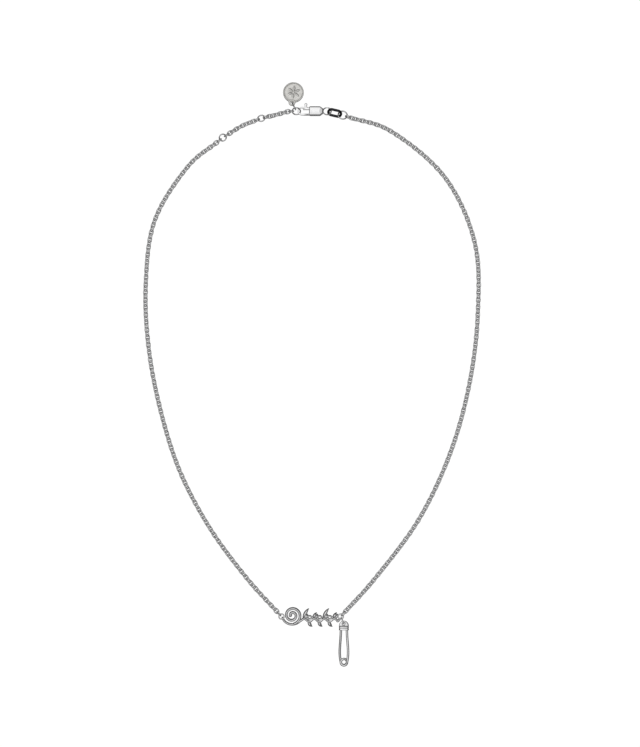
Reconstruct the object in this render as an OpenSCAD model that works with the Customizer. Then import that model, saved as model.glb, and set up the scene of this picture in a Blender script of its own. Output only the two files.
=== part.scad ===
// Nameplate necklace, clasped and laid out flat in a loop.
// X runs across the loop, Y from the nameplate up to the clasp, Z up from the table that it lies on.
// The chain is a cable chain, drawn here as a plain tube of the chain's width with a real link at each end.

/* [Chain] */
// Width of the chain as it lies, its links tilted to either side by turns
chain_w = 1.5; // [1.4:0.05:1.6]
// Length of a chain link
link_l = 2.34; // [2.3:0.02:2.4]
// Width of a chain link
link_w = 1.92; // [1.88:0.02:2]
// Wire of a chain link
chain_wire = 0.44; // [0.42:0.02:0.48]

/* [Rings and links] */
// Wire of every ring and link outside the chain and of the nameplate's loops, except the dark oval link
ring_wire = 0.44; // [0.4:0.02:0.46]
// Outer diameter of the ring that the clasp hooks into
end_ring_d = 3.2; // [2.9:0.05:3.6]
// Outer diameter of the two rings set into the chain to wear it shorter
adjuster_ring_d = 2.8; // [2.5:0.05:3.2]
// Outer diameter of the ring between the oval link and the chain
side_ring_d = 3.5; // [3:0.05:4]
// Outer diameter of the ring soldered to the clasp
tail_ring_d = 3.2; // [3:0.05:3.3]
// Length of the dark oval link
oval_link_l = 5.2; // [4.8:0.05:5.6]
// Width of the dark oval link
oval_link_w = 3.1; // [3:0.05:3.2]
// Wire of the dark oval link
oval_link_wire = 0.9; // [0.8:0.02:0.92]
// Length of the link that carries the tag
tag_link_l = 3.4; // [3.1:0.05:3.8]
// Length of the link that carries the safety pin
pin_link_l = 2.95; // [2.7:0.05:3.2]
// Width of the links that carry the tag and the safety pin
small_link_w = 1.88; // [1.84:0.02:1.92]

/* [Tag] */
// Diameter of the round tag
tag_d = 7; // [6:0.1:8]
// Thickness of the tag
tag_t = 0.6; // [0.5:0.05:0.65]
// Width of the raised rim of the tag
tag_rim_w = 0.35; // [0.25:0.05:0.6]
// Depth of the field inside the rim of the tag
tag_sink = 0.12; // [0.06:0.02:0.2]
// Diameter of the eye at the tag's edge
tag_eye_d = 2.3; // [2:0.05:2.5]
// Hole in the tag's eye
tag_hole_d = 1.2; // [1.1:0.05:1.3]

/* [Clasp] */
// Length of the clasp without its soldered ring
clasp_l = 8.7; // [8.4:0.1:9.6]
// Width of the clasp's body
clasp_w = 3.2; // [3:0.05:3.5]
// Thickness of the clasp's body
clasp_t = 1.75; // [1.6:0.05:1.8]
// Length of the hook ahead of the body
hook_l = 3.9; // [3.7:0.05:4.2]
// Width of the hook
hook_w = 2.9; // [2.8:0.05:3]
// Width of the hook's long arm
keel_w = 0.56; // [0.5:0.02:0.6]
// Width of the hook's nose
nose_w = 0.5; // [0.44:0.02:0.52]
// Thickness of the hook's nose
nose_t = 0.36; // [0.32:0.02:0.38]
// Length of the nose's tip, measured from the clasp's end
nose_l = 2.1; // [1.9:0.05:2.2]
// Width of the nose's tip, under which the lever closes
nose_tip_w = 0.5; // [0.4:0.05:0.6]
// Thickness of the lever
lever_t = 0.6; // [0.5:0.02:0.7]
// Distance of the lever's pivot from the body's front
pivot_in = 1.15; // [1:0.05:1.3]
// Height of the lever's pivot above the clasp's middle line
pivot_up = 0.92; // [0.85:0.01:0.95]
// Diameter of the lever's pivot
pivot_d = 0.44; // [0.36:0.02:0.5]
// Diameter of the lever's hub
hub_d = 1.24; // [1.1:0.02:1.3]
// Diameter of the thumb knob
knob_d = 1; // [0.8:0.05:1.1]
// Height of the thumb knob's middle above the clasp's middle line
knob_up = 2.25; // [2.1:0.05:2.5]

/* [Nameplate] */
// Distance between the middles of the two loops
plate_l = 20; // [19:0.1:21]
// Thickness of the plate
plate_t = 1.3; // [1.2:0.05:1.5]
// Outer diameter of the loops
loop_d = 2.2; // [2.15:0.05:2.3]
// Diameter of the big curl
curl_d = 6.8; // [6.5:0.1:6.9]
// Width of the big curl's band
curl_w = 0.95; // [0.85:0.05:1]
// Width of the stem's band
stem_w = 0.8; // [0.7:0.02:0.9]
// Length of a full wave of the stem
wave_l = 3.38; // [3.2:0.02:3.4]
// Height of the stem's wave above and below its middle
wave_h = 0.5; // [0.4:0.05:0.65]
// Length of a short leaf
leaf_l = 2.4; // [2.1:0.05:2.5]
// Length of a tall leaf
tall_leaf_l = 4; // [3.6:0.05:4.2]
// Width of a leaf
leaf_w = 1.15; // [1:0.05:1.25]
// Diameter of a tendril's curl
tendril_d = 2.25; // [2:0.05:2.3]
// Width of a tendril's band
tendril_w = 0.5; // [0.44:0.02:0.52]

/* [Safety pin] */
// Wire of the safety pin
pin_wire = 0.84; // [0.76:0.02:0.86]
// Distance from the cap's hole to the middle of the coil
pin_l = 12.9; // [11:0.1:14]
// Distance between the legs' middles inside the cap
leg_gap = 2; // [1.9:0.05:2.2]
// How much wider apart the legs are near the coil
leg_bulge = 0.75; // [0.5:0.05:0.8]
// Hole through the middle of the coil
coil_eye_d = 1.25; // [1.1:0.05:1.4]
// Thickness of the cap at its open end
cap_t = 1.3; // [1.2:0.05:1.4]
// Thickness of the cap's pinched top
cap_top_t = 0.64; // [0.56:0.02:0.7]
// Wall of the cap
cap_wall = 0.16; // [0.12:0.01:0.2]
// Height of the cap from its hole to its open end
cap_skirt = 2.1; // [1.9:0.05:2.4]
// Hole through the cap's top
cap_hole_d = 0.96; // [0.9:0.02:1.05]
// Metal above the cap's hole
cap_lip = 0.55; // [0.45:0.05:0.6]

/* [Fits] */
// Gap between the wires of two pieces that hook into each other
link_gap = 0.08; // [0.04:0.01:0.1]
// Gap between the tag's link and the wall of the tag's hole
tag_gap = 0.39; // [0.36:0.01:0.4]
// Gap between the end ring and the inside of the clasp's nose
nose_gap = 0.28; // [0.25:0.01:0.3]
// Gap between the dark oval link and the rings that it joins
oval_gap = 0.22; // [0.18:0.01:0.26]
// Gap round the lever's pivot
pivot_gap = 0.05; // [0.03:0.01:0.07]
// Gap between the lever and the sides of its slot
slot_gap = 0.06; // [0.04:0.01:0.08]
// Gap between a safety pin leg and the inside of the cap
cap_gap = 0.06; // [0.04:0.01:0.1]

/* [Hidden] */
$fn = 48;
silver = [0.86, 0.86, 0.87];
satin = [0.7, 0.7, 0.67];
dark = [0.1, 0.1, 0.11];

// Heights: what is joined lies with its middle at join_z, and the chain sinks from there to the table
join_z = 1.15;
chain_z = chain_w / 2;

// Where the clasp's nose, the two adjuster rings and the nameplate lie
clasp_at = [-4.8, 88.4];
adjuster_inner_at = [-17, 86];
adjuster_outer_at = [-30, 79.5];
plate_at = [-0.2, -82.1];

// Routes of the chain between its ends, chosen by hand
route_right = [
    [27, 81.5], [45, 66], [55, 44], [56, 19.5], [53, -4.5], [46.5, -27.5], [36, -49.5], [21.5, -69],
];
route_left = [
    [-42, 69.5], [-53, 51.5], [-56, 30], [-55, 8.5], [-51, -12.5], [-44.5, -33], [-34.5, -52], [-22, -69],
];
route_inner = [[-8, 88.3], [-12.5, 87.1]];
route_outer = [[-23.5, 83.5]];
route_steps = 4;
short_route_steps = 1;
tube_sides = 8;

// The eye is the chain's last link, turned by eye_roll from lying flat, and the tube ends short of the ring
eye_half = (link_l - chain_wire) / 2;
eye_roll = 70;
wires_gap = (ring_wire + chain_wire) / 2 + link_gap;
tube_back = ring_wire / 2 + 0.35;

function dir(a) = [cos(a), sin(a)];
function ring_r(d, wire = ring_wire) = (d - wire) / 2;
function step_to(from, reach, a) = [from.x, from.y] + reach * dir(a);
function heading(from, to) = atan2(to.y - from.y, to.x - from.x);
function lifted(p, z) = [p.x, p.y, z];

// Clasp: local x runs from the nose's end to the tail, y up from its middle line, and the forms that cut
// its faces reach past its ends by side_over
tail_ring_r = ring_r(tail_ring_d);
tail_ring_at = clasp_at + [clasp_l + tail_ring_r - ring_wire / 4, 0];
pivot = [hook_l + pivot_in, pivot_up];
slot_t = lever_t + 2 * slot_gap;
hook_hole_low = -hook_w / 2 + keel_w;
body_corner = 0.5;
body_taper_l = 1.1;
nose_thin_l = 0.7;
tail_thin_l = 1.4;
side_over = 1;
slot_front = hook_l - 0.4;
slot_end = pivot.x + hub_d / 2 + 0.08;
gate_low = 0.35;
nose_low = hook_w / 2 - nose_tip_w;
gate_top = nose_low - slot_gap;

// The lever: its gate reaches past the nose's tip, and its neck carries the thumb knob
gate_tip = nose_l - 0.25;
neck_x = nose_l + 0.3;
neck_w = 0.85 * knob_d;
neck_up = hook_w / 2 - 0.1;

// The end ring hangs in the hook, close to the inside of the nose, and leans back over it
end_ring_r = ring_r(end_ring_d);
end_ring_at = clasp_at + [nose_w + nose_gap + ring_wire / 2 - end_ring_r, 0];
end_ring_roll = 42;
adjuster_roll = 25;

// The oval link and the side ring follow from the clasp's soldered ring
oval_lean = -13;
side_lean = -15;
side_roll = -24;
tail_roll = -26;
oval_roll = 35;
oval_half = (oval_link_l - oval_link_wire) / 2;
oval_overlap = (ring_wire + oval_link_wire) / 2 + oval_gap;
oval_at = step_to(tail_ring_at, tail_ring_r + oval_half - oval_overlap, oval_lean);
side_ring_r = ring_r(side_ring_d);
side_ring_at = step_to(oval_at, oval_half + side_ring_r - oval_overlap, side_lean);

// The tag hangs on its link from the raised upper left of the end ring, and dips to the table
tag_link_lean = 117;
tag_lean = 82;
tag_turn = atan2(tan(tag_link_lean) / cos(end_ring_roll), 1) + 180;
tag_hook_z = join_z + end_ring_r * sin(tag_turn) * sin(end_ring_roll);
tag_hook_reach = end_ring_r * norm([cos(tag_turn), sin(tag_turn) * cos(end_ring_roll)]);
tag_link_half = (tag_link_l - ring_wire) / 2;
tag_slack = tag_hole_d / 2 - ring_wire / 2 - tag_gap;
tag_link_drop = tag_hook_z - link_gap - join_z;
tag_link_pitch = asin(tag_link_drop / (2 * (tag_link_half - ring_wire - link_gap)));
tag_link_reach = tag_link_half * cos(tag_link_pitch);
tag_link_from = tag_hook_reach - ring_wire - link_gap + tag_link_reach;
tag_link_at = lifted(step_to(end_ring_at, tag_link_from, tag_link_lean), join_z + tag_link_drop / 2);
tag_eye_at = step_to(tag_link_at, tag_link_reach - tag_slack, tag_link_lean);
tag_tilt = asin((join_z - tag_t / 2) / tag_d);

// Nameplate: local origin halfway between its ends
loop_r = ring_r(loop_d);
loop_up = 0.1;
loop_z = join_z - 0.05;
loop_left_at = plate_at + [-plate_l / 2, loop_up];
loop_right_at = plate_at + [plate_l / 2, loop_up];
curl_up = 0.4;
curl_at = [-plate_l / 2 + curl_d / 2 + 0.2, curl_up];
curl_r = (curl_d - curl_w) / 2;
curl_start = -75;
curl_turns = 1.72;
curl_hub = 0.2;
curl_steps = 32;
tendril_r = (tendril_d - tendril_w) / 2;
tendril_start = -100;
tendril_turns = 1.15;
tendril_hub = 0.42;
tendril_steps = 13;
stem_mid = -1.2;
stem_foot = [curl_r + 0.42, curl_r + 0.12];
stem_steps = 5;
wave_from = curl_at.x + curl_r + 0.3;
stem_from = wave_from + 0.2;
stem_end = plate_l / 2 - loop_d / 2 - 0.2;
stem_tail = [
    [stem_end + 0.2, stem_mid - 0.33], [stem_end + 0.5, stem_mid - 0.22],
    [stem_end + 0.72, stem_mid + 0.08], [plate_l / 2 - 0.4, loop_up - loop_r - 0.05],
];
waves = floor((stem_end - wave_from) / (wave_l / 2));
leaf_steps = 7;
stroke_sides = 16;

// Notches of the ornament narrower than twice this are filled
notch = 0.03;

// Leaves by the direction of their foot and how far they bend from there
upper_leaf = [80, -36];
side_leaf = [38, 35];
lower_leaf = [-75, 45];

// The ornament's two steps: the share of each band's width, and the shares of plate_t that it spans
plate_steps = [[1, 0, 0.55], [0.72, 0.3, 1]];

// Safety pin: local origin at the cap's hole, y up along the pin
pin_link_lean = -67;
pin_link_half = (pin_link_l - ring_wire) / 2;
pin_slack = cap_hole_d / 2 - ring_wire / 2 - link_gap;
pin_hook = loop_r - ring_wire - link_gap;
pin_link_at = step_to(loop_right_at, pin_hook + pin_link_half, pin_link_lean);
cap_hole_at = step_to(pin_link_at, pin_link_half - pin_slack, pin_link_lean);
coil_r = (coil_eye_d + pin_wire) / 2;
coil_pitch = pin_wire + 0.05;
coil_z = pin_wire / 2;
leg_top = -cap_skirt + 0.95;
leg_steps = 12;
coil_step = 20;
pin_sides = 10;
cap_half_w = leg_gap / 2 + pin_wire / 2 + cap_gap + cap_wall;
cap_slope = 0.3;

// Ring of round wire, its plane turned by roll about the line that points along lean
module ring(at, outer_d, wire, lean = 0, roll = 0) {
    translate(at) rotate([0, 0, lean]) rotate([roll, 0, 0])
        rotate_extrude() translate([(outer_d - wire) / 2, 0]) circle(d = wire);
}

// Long link with round ends, along lean, its far end dipped by pitch and its plane turned by roll
module link(at, l, w, wire, lean = 0, pitch = 0, roll = 0) {
    r = (w - wire) / 2;
    straight = l - w;
    translate(at) rotate([0, pitch, lean]) rotate([roll, 0, 0])
        for (side = [0, 180]) rotate([0, 0, side]) {
            translate([straight / 2, 0, 0]) rotate([0, 0, -90])
                rotate_extrude(angle = 180) translate([r, 0]) circle(d = wire);
            translate([-straight / 2, r, 0]) rotate([0, 90, 0]) cylinder(d = wire, h = straight);
        }
}

// Smooth curve through hand-picked points, with its first and last points as given
function blend(a, b, c, d, t) =
    0.5 * (2 * b + (c - a) * t + (2 * a - 5 * b + 4 * c - d) * t * t + (3 * b - a - 3 * c + d) * t * t * t);
function through(p, steps) =
    let (last = len(p) - 1, q = concat([2 * p[0] - p[1]], p, [2 * p[last] - p[last - 1]]))
    concat([for (i = [0:last - 1], k = [0:steps - 1]) blend(q[i], q[i + 1], q[i + 2], q[i + 3], k / steps)],
           [p[last]]);

// Round tube along a list of points
function direction(p, i) =
    let (d = p[min(i + 1, len(p) - 1)] - p[max(i - 1, 0)]) d / norm(d);
function section(p, i, r, sides) =
    let (t = direction(p, i), across = cross([0, 0, 1], t), side = across / norm(across), up = cross(t, side))
    [for (k = [0:sides - 1]) p[i] + r * (cos(360 * k / sides) * side + sin(360 * k / sides) * up)];
module tube(p, d, sides) {
    rings = len(p);
    points = [for (i = [0:rings - 1]) each section(p, i, d / 2, sides)];
    walls = [for (i = [0:rings - 2], k = [0:sides - 1]) let (next = (k + 1) % sides)
        each [[i * sides + k, (i + 1) * sides + next, i * sides + next],
              [i * sides + k, (i + 1) * sides + k, (i + 1) * sides + next]]];
    first = [for (k = [0:sides - 1]) k];
    last = [for (k = [sides - 1:-1:0]) (rings - 1) * sides + k];
    polyhedron(points, concat(walls, [first], [last]), convexity = 6);
}

// Stretch of chain from one ring to another; the link hooked into each ring is turned by its own roll
module chain(from, from_r, from_roll, route, to, to_r, to_roll, steps) {
    a = heading(from, route[0]);
    b = heading(to, route[len(route) - 1]);
    start = step_to(from, from_r + tube_back, a);
    end = step_to(to, to_r + tube_back, b);
    ends = [lifted(start, join_z), lifted(end, join_z)];
    mid = [for (p = route) lifted(p, chain_z)];
    path = through(concat([ends[0]], mid, [ends[1]]), steps);
    tube([for (p = path) lifted(p, max(p.z, chain_z))], chain_w, tube_sides);
    for (e = [[from, from_r, a, from_roll], [to, to_r, b, -to_roll]])
        link(lifted(step_to(e[0], e[1] + eye_half - wires_gap, e[2]), join_z), link_l, link_w, chain_wire,
             e[2], 0, e[3]);
}

module chain_right() {
    color(silver) chain(side_ring_at, side_ring_r, eye_roll, route_right,
                        loop_right_at, loop_r, eye_roll, route_steps);
}

module chain_left() {
    color(silver) chain(adjuster_outer_at, ring_r(adjuster_ring_d), eye_roll, route_left,
                        loop_left_at, loop_r, eye_roll, route_steps);
}

module chain_outer() {
    color(silver) chain(adjuster_inner_at, ring_r(adjuster_ring_d), -eye_roll, route_outer,
                        adjuster_outer_at, ring_r(adjuster_ring_d), eye_roll, short_route_steps);
}

module chain_inner() {
    color(silver) chain(end_ring_at, end_ring_r, eye_roll, route_inner,
                        adjuster_inner_at, ring_r(adjuster_ring_d), -eye_roll, short_route_steps);
}

module ring_end() {
    color(silver) ring(lifted(end_ring_at, join_z), end_ring_d, ring_wire, 0, end_ring_roll);
}

module ring_adjuster_inner() {
    lean = heading(adjuster_outer_at, end_ring_at);
    color(silver) ring(lifted(adjuster_inner_at, join_z), adjuster_ring_d, ring_wire, lean, -adjuster_roll);
}

module ring_adjuster_outer() {
    lean = heading(route_left[0], adjuster_inner_at);
    color(silver) ring(lifted(adjuster_outer_at, join_z), adjuster_ring_d, ring_wire, lean, adjuster_roll);
}

module ring_side() {
    color(silver) ring(lifted(side_ring_at, join_z), side_ring_d, ring_wire, side_lean, side_roll);
}

module oval_link() {
    color(dark) link(lifted(oval_at, join_z), oval_link_l, oval_link_w, oval_link_wire,
                     oval_lean, 0, oval_roll);
}

module tag_link() {
    color(silver) link(tag_link_at, tag_link_l, small_link_w, ring_wire, tag_link_lean, tag_link_pitch, 90);
}

module pin_link() {
    color(silver) link(lifted(pin_link_at, join_z), pin_link_l, small_link_w, ring_wire,
                       pin_link_lean, 0, 90);
}

// Round tag with an eye, a raised rim and a six-petalled rosette, its far side down on the table
module tag_disc() {
    field_r = tag_d / 2 - tag_rim_w;
    field_z = tag_t / 2 - tag_sink;
    color(satin) translate(lifted(tag_eye_at, join_z)) rotate([0, 0, tag_lean]) rotate([0, tag_tilt, 0])
        difference() {
            union() {
                cylinder(d = tag_eye_d, h = tag_t, center = true);
                translate([tag_d / 2, 0, 0]) difference() {
                    cylinder(d = tag_d, h = tag_t, center = true);
                    translate([0, 0, field_z]) difference() {
                        cylinder(r = field_r, h = tag_t);
                        rosette(field_r * 0.8);
                    }
                }
            }
            cylinder(d = tag_hole_d, h = 2 * tag_t, center = true);
        }
}

// Six petals round the middle, each the overlap of two round discs
module rosette(r) {
    petal_shift = r * 0.45;
    petal_r = norm([petal_shift, r / 2]);
    for (k = [0:5]) rotate([0, 0, 60 * k]) translate([r / 2, 0, -tag_sink])
        intersection_for (side = [-1, 1])
            translate([0, side * petal_shift, 0]) cylinder(r = petal_r, h = 1.6 * tag_sink);
}

// Outline of the whole clasp seen from above
module clasp_outline() {
    hook_r = hook_w / 2;
    body_r = clasp_w / 2;
    taper_x = clasp_l - body_taper_l;
    translate([hook_r, 0]) circle(hook_r);
    translate([hook_r, -hook_r]) square([hook_l - hook_r + body_corner, hook_w]);
    translate([hook_l, 0]) {
        for (side = [-1, 1]) translate([body_corner, side * (body_r - body_corner)]) circle(body_corner);
        translate([body_corner, -body_r]) square([taper_x - hook_l - body_corner, clasp_w]);
        translate([0, -body_r + body_corner]) square([2 * body_corner, clasp_w - 2 * body_corner]);
    }
    polygon([[taper_x, -body_r], [taper_x, body_r], [clasp_l, body_r / 2], [clasp_l, -body_r / 2]]);
}

// Hole of the hook and the mouth that the lever closes
module hook_hole() {
    hole_h = nose_low - hook_hole_low;
    end_r = hole_h / 2;
    translate([nose_w + end_r, hook_hole_low + end_r]) circle(end_r);
    translate([nose_w + end_r, hook_hole_low]) square([hook_l - nose_w - end_r, hole_h]);
    translate([nose_l, hook_hole_low]) square([hook_l - nose_l, hook_w]);
}

// Side view of the clasp: thin at the nose, full at the body, a little thinner at the tail
module clasp_side() {
    upper = [[-side_over, nose_t], [nose_thin_l, nose_t], [hook_l, clasp_t],
             [clasp_l - tail_thin_l, clasp_t], [clasp_l + side_over, clasp_t / 2]];
    polygon(concat([for (p = upper) [p.x, p.y / 2]],
                   [for (i = [len(upper) - 1:-1:0]) [upper[i].x, -upper[i].y / 2]]));
}

// Clasp body with its hook, the slot and pivot of the lever, and the ring soldered to its tail
module clasp_body() {
    dome_r = 1.8 * clasp_w;
    color(silver) translate(lifted(clasp_at, join_z)) {
        difference() {
            intersection() {
                linear_extrude(2 * clasp_t, center = true) difference() {
                    clasp_outline();
                    hook_hole();
                }
                rotate([90, 0, 0]) linear_extrude(2 * clasp_w, center = true) clasp_side();
                dome_bar(dome_r, 1);
                dome_bar(dome_r, -1);
            }
            translate([slot_front, 0, -slot_t / 2]) cube([slot_end - slot_front, clasp_w, slot_t]);
        }
        translate([pivot.x, pivot.y, 0]) cylinder(d = pivot_d, h = clasp_t - 0.2, center = true);
    }
    color(silver) ring(lifted(tail_ring_at, join_z), tail_ring_d, ring_wire, 0, tail_roll);
}

// Long round bar that gives the clasp its domed upper or lower face
module dome_bar(r, side) {
    translate([-side_over, 0, side * (clasp_t / 2 - r)]) rotate([0, 90, 0])
        cylinder(r = r, h = clasp_l + 2 * side_over, $fn = 96);
}

// Lever seen from above: gate, thumb knob and hub
module lever_outline() {
    translate([gate_tip, gate_low]) square([pivot.x - gate_tip, gate_top - gate_low]);
    translate([neck_x, gate_low]) square([pivot.x - neck_x, neck_up - gate_low]);
    translate([neck_x, gate_low]) square([neck_w, knob_up - gate_low]);
    translate([neck_x + neck_w / 2, knob_up]) circle(d = knob_d);
    translate(pivot) circle(d = hub_d);
}

module clasp_lever() {
    color(silver) translate(lifted(clasp_at, join_z)) difference() {
        linear_extrude(lever_t, center = true) lever_outline();
        translate([pivot.x, pivot.y, 0])
            cylinder(d = pivot_d + 2 * pivot_gap, h = 2 * lever_t, center = true);
    }
}

// Band of varying width along a list of points, laid piece by piece so that its tight bends stay filled
function side_point(p, i, w) =
    let (d = p[min(i + 1, len(p) - 1)] - p[max(i - 1, 0)], n = [-d.y, d.x] / norm(d)) p[i] + n * w;
module stroke(p, w, share) {
    half = share * w / 2;
    last = len(p) - 1;
    for (i = [0:last - 1])
        polygon([side_point(p, i, half[i]), side_point(p, i + 1, half[i + 1]),
                 side_point(p, i + 1, -half[i + 1]), side_point(p, i, -half[i])]);
    for (i = [0, last]) translate(p[i]) circle(half[i], $fn = stroke_sides);
}

// Paths of the ornament: a stem that rolls round the big curl and then waves, curls, and leaves
function stem_y(x) = stem_mid + wave_h * sin(360 * (x - wave_from) / wave_l);
function stem_path() = concat(
    [for (a = [196:10:316]) curl_at + [stem_foot.x * cos(a), stem_foot.y * sin(a)]],
    [for (i = [0:stem_steps * waves]) let (x = stem_from + (stem_end - stem_from) * i / (stem_steps * waves))
        [x, stem_y(x)]],
    stem_tail);
function curl_path(at, r, start, turns, hub, steps) =
    [for (i = [0:steps]) let (u = i / steps) at + r * (1 - (1 - hub) * u) * dir(start + 360 * turns * u)];
function leaf_path(at, leaf, l) =
    let (lean = leaf[0], bend = leaf[1], r = l / (bend * PI / 180))
    [for (i = [0:leaf_steps]) let (a = lean + bend * i / leaf_steps)
        at + r * [sin(a) - sin(lean), cos(lean) - cos(a)]];
function leaf_widths(w) = [for (i = [0:leaf_steps]) w * max(0.14, pow(sin(22 + 156 * i / leaf_steps), 0.8))];
function even(w, p) = [for (q = p) w];

// The whole ornament in bands of a share of their full width
module ornament(share) {
    stem = stem_path();
    curl = curl_path(curl_at, curl_r, curl_start, curl_turns, curl_hub, curl_steps);
    stroke(stem, even(stem_w, stem), share);
    stroke(curl, even(curl_w, curl), share);
    translate(curl[curl_steps]) circle(d = 1.1 * curl_w * share);
    for (k = [0:waves - 1]) let (x = wave_from + wave_l / 2 * (k + 0.5), at = [x, stem_y(x)])
        if (k % 2 == 0) {
            upper_l = k % 4 == 0 ? tall_leaf_l : leaf_l;
            stroke(leaf_path(at - [0.25, 0], upper_leaf, upper_l), leaf_widths(leaf_w), share);
            stroke(leaf_path(at + [0.1, 0], side_leaf, 0.85 * leaf_l), leaf_widths(0.75 * leaf_w), share);
        } else {
            tendril = curl_path(at + [0.1, tendril_r + 0.45], tendril_r, tendril_start, tendril_turns,
                                tendril_hub, tendril_steps);
            stroke(leaf_path(at - [0.25, 0], lower_leaf, 0.9 * leaf_l), leaf_widths(leaf_w), share);
            stroke(tendril, even(tendril_w, tendril), share);
        }
}

// Openwork plate: the ornament in two steps up to its crest, with a loop at each end
module nameplate() {
    color(silver) {
        for (layer = plate_steps) translate(lifted(plate_at, layer[1] * plate_t))
            linear_extrude((layer[2] - layer[1]) * plate_t)
                offset(delta = -notch) offset(delta = notch) ornament(layer[0]);
        for (at = [loop_left_at, loop_right_at]) ring(lifted(at, loop_z), loop_d, ring_wire, $fn = 24);
    }
}

// Path of the safety pin's wire: down the left leg, one and a half turns, and up the right leg
function leg_x(u) = leg_gap / 2 + leg_bulge / 2 * sin(180 * pow(u, 2)) + (coil_r - leg_gap / 2) * u;
function leg(side, z) = [for (i = [0:leg_steps - 1]) let (u = i / leg_steps)
    [side * leg_x(u), leg_top - (pin_l + leg_top) * u, join_z + (z - join_z) * u * u * (3 - 2 * u)]];
function pin_path() =
    let (left = leg(-1, coil_z), right = leg(1, coil_z + 1.5 * coil_pitch))
    concat(left,
        [for (a = [0:coil_step:540])
            [coil_r * cos(180 + a), coil_r * sin(180 + a) - pin_l, coil_z + coil_pitch * a / 360]],
        [for (i = [leg_steps - 1:-1:0]) right[i]]);
module safety_pin_wire() {
    color(silver) translate(cap_hole_at) tube(pin_path(), pin_wire, pin_sides);
}

// Outer form of the cap: a round top that widens below its pinched part
module cap_form(half_w, half_t, shoulder, low) {
    round_at = cap_hole_d / 2 + cap_lip - cap_half_w;
    top = cap_top_t / 2;
    intersection() {
        linear_extrude(2 * half_t, center = true) {
            translate([0, round_at]) circle(half_w);
            translate([-half_w, -low]) square([2 * half_w, round_at + low]);
        }
        rotate([90, 0, 90]) linear_extrude(3 * half_w, center = true)
            polygon([[-low, -half_t], [shoulder - cap_slope, -half_t], [shoulder, -top], [cap_half_w, -top],
                     [cap_half_w, top], [shoulder, top], [shoulder - cap_slope, half_t], [-low, half_t]]);
    }
}

// Cap of sheet metal: pinched round its hole, open below where the legs enter
module safety_pin_cap() {
    shoulder = -cap_hole_d / 2 - 0.1;
    hollow_h = cap_skirt + shoulder - cap_slope - cap_wall / 2;
    hollow_w = 2 * (cap_half_w - cap_wall);
    hollow_t = cap_t - 2 * cap_wall;
    color(silver) translate(lifted(cap_hole_at, join_z)) difference() {
        cap_form(cap_half_w, cap_t / 2, shoulder, cap_skirt);
        translate([-hollow_w / 2, -cap_skirt - 1, -hollow_t / 2]) cube([hollow_w, hollow_h + 1, hollow_t]);
        cylinder(d = cap_hole_d, h = 2 * cap_t, center = true);
    }
}

chain_right();
chain_left();
chain_outer();
chain_inner();
ring_end();
ring_adjuster_inner();
ring_adjuster_outer();
ring_side();
tag_disc();
tag_link();
clasp_body();
clasp_lever();
oval_link();
nameplate();
pin_link();
safety_pin_wire();
safety_pin_cap();
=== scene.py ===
import math
import random

import bmesh
import bpy
import numpy as np
from mathutils import Matrix, Vector
from mathutils.kdtree import KDTree


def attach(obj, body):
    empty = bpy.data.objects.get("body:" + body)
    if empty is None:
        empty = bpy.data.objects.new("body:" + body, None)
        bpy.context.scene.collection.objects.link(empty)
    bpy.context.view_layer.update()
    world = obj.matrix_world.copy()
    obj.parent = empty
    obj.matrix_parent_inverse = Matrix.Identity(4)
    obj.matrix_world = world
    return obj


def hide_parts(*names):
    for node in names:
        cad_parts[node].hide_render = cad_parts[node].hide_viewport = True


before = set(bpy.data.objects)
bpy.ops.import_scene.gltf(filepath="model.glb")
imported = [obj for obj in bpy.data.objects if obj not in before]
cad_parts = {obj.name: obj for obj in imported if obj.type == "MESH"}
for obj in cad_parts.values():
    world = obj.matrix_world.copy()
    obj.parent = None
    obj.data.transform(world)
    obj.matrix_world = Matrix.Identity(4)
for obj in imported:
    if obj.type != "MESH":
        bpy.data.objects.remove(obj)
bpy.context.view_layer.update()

random.seed(7)

# Every length is in millimetres, as in the part's source; meshes are scaled to metres when they are made
MM = 0.001

# Chain
CHAIN_W = 1.5
LINK_L, LINK_W, CHAIN_WIRE = 2.34, 1.92, 0.44
LINK_PITCH = 1.266

# Links are tilted by LINK_TILT, and those in a ring's eye by EYE_ROLL; what they are steeper by fades
# by EYE_FADE from link to link. Loose links roll and yaw by a little more or less.
LINK_TILT, EYE_ROLL, EYE_FADE = 45, 70, 0.5
LOOSE_ROLL, LOOSE_YAW = 4, 2

# Points that the chain's route runs through
ROUTE_RIGHT = [
    (27, 81.5), (45, 66), (55, 44), (56, 19.5), (53, -4.5), (46.5, -27.5), (36, -49.5), (21.5, -69),
]
ROUTE_LEFT = [
    (-42, 69.5), (-53, 51.5), (-56, 30), (-55, 8.5), (-51, -12.5), (-44.5, -33), (-34.5, -52), (-22, -69),
]
ROUTE_INNER = [(-8, 88.3), (-12.5, 87.1)]
ROUTE_OUTER = [(-23.5, 83.5)]

# Heights: what is joined lies with its middle at JOIN_Z, the chain with its middle at LINK_Z
JOIN_Z = 1.15
CHAIN_Z = CHAIN_W / 2
LINK_Z = 0.8

# Rings and links
WIRE = 0.44
LINK_GAP = 0.08
WIRES_GAP = (WIRE + CHAIN_WIRE) / 2 + LINK_GAP
END_RING_D, END_RING_ROLL = 3.2, 42
ADJUSTER_D, ADJUSTER_ROLL = 2.8, 25
SIDE_RING_D, SIDE_LEAN, SIDE_ROLL = 3.5, -15, -24
TAIL_RING_D = 3.2
OVAL_L, OVAL_W, OVAL_WIRE, OVAL_GAP = 5.2, 3.1, 0.9, 0.22
OVAL_LEAN, OVAL_ROLL = -13, 35
SMALL_LINK_W = 1.88
TAG_LINK_L, TAG_LINK_LEAN = 3.4, 117
PIN_LINK_L, PIN_LINK_LEAN = 2.95, -67

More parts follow.
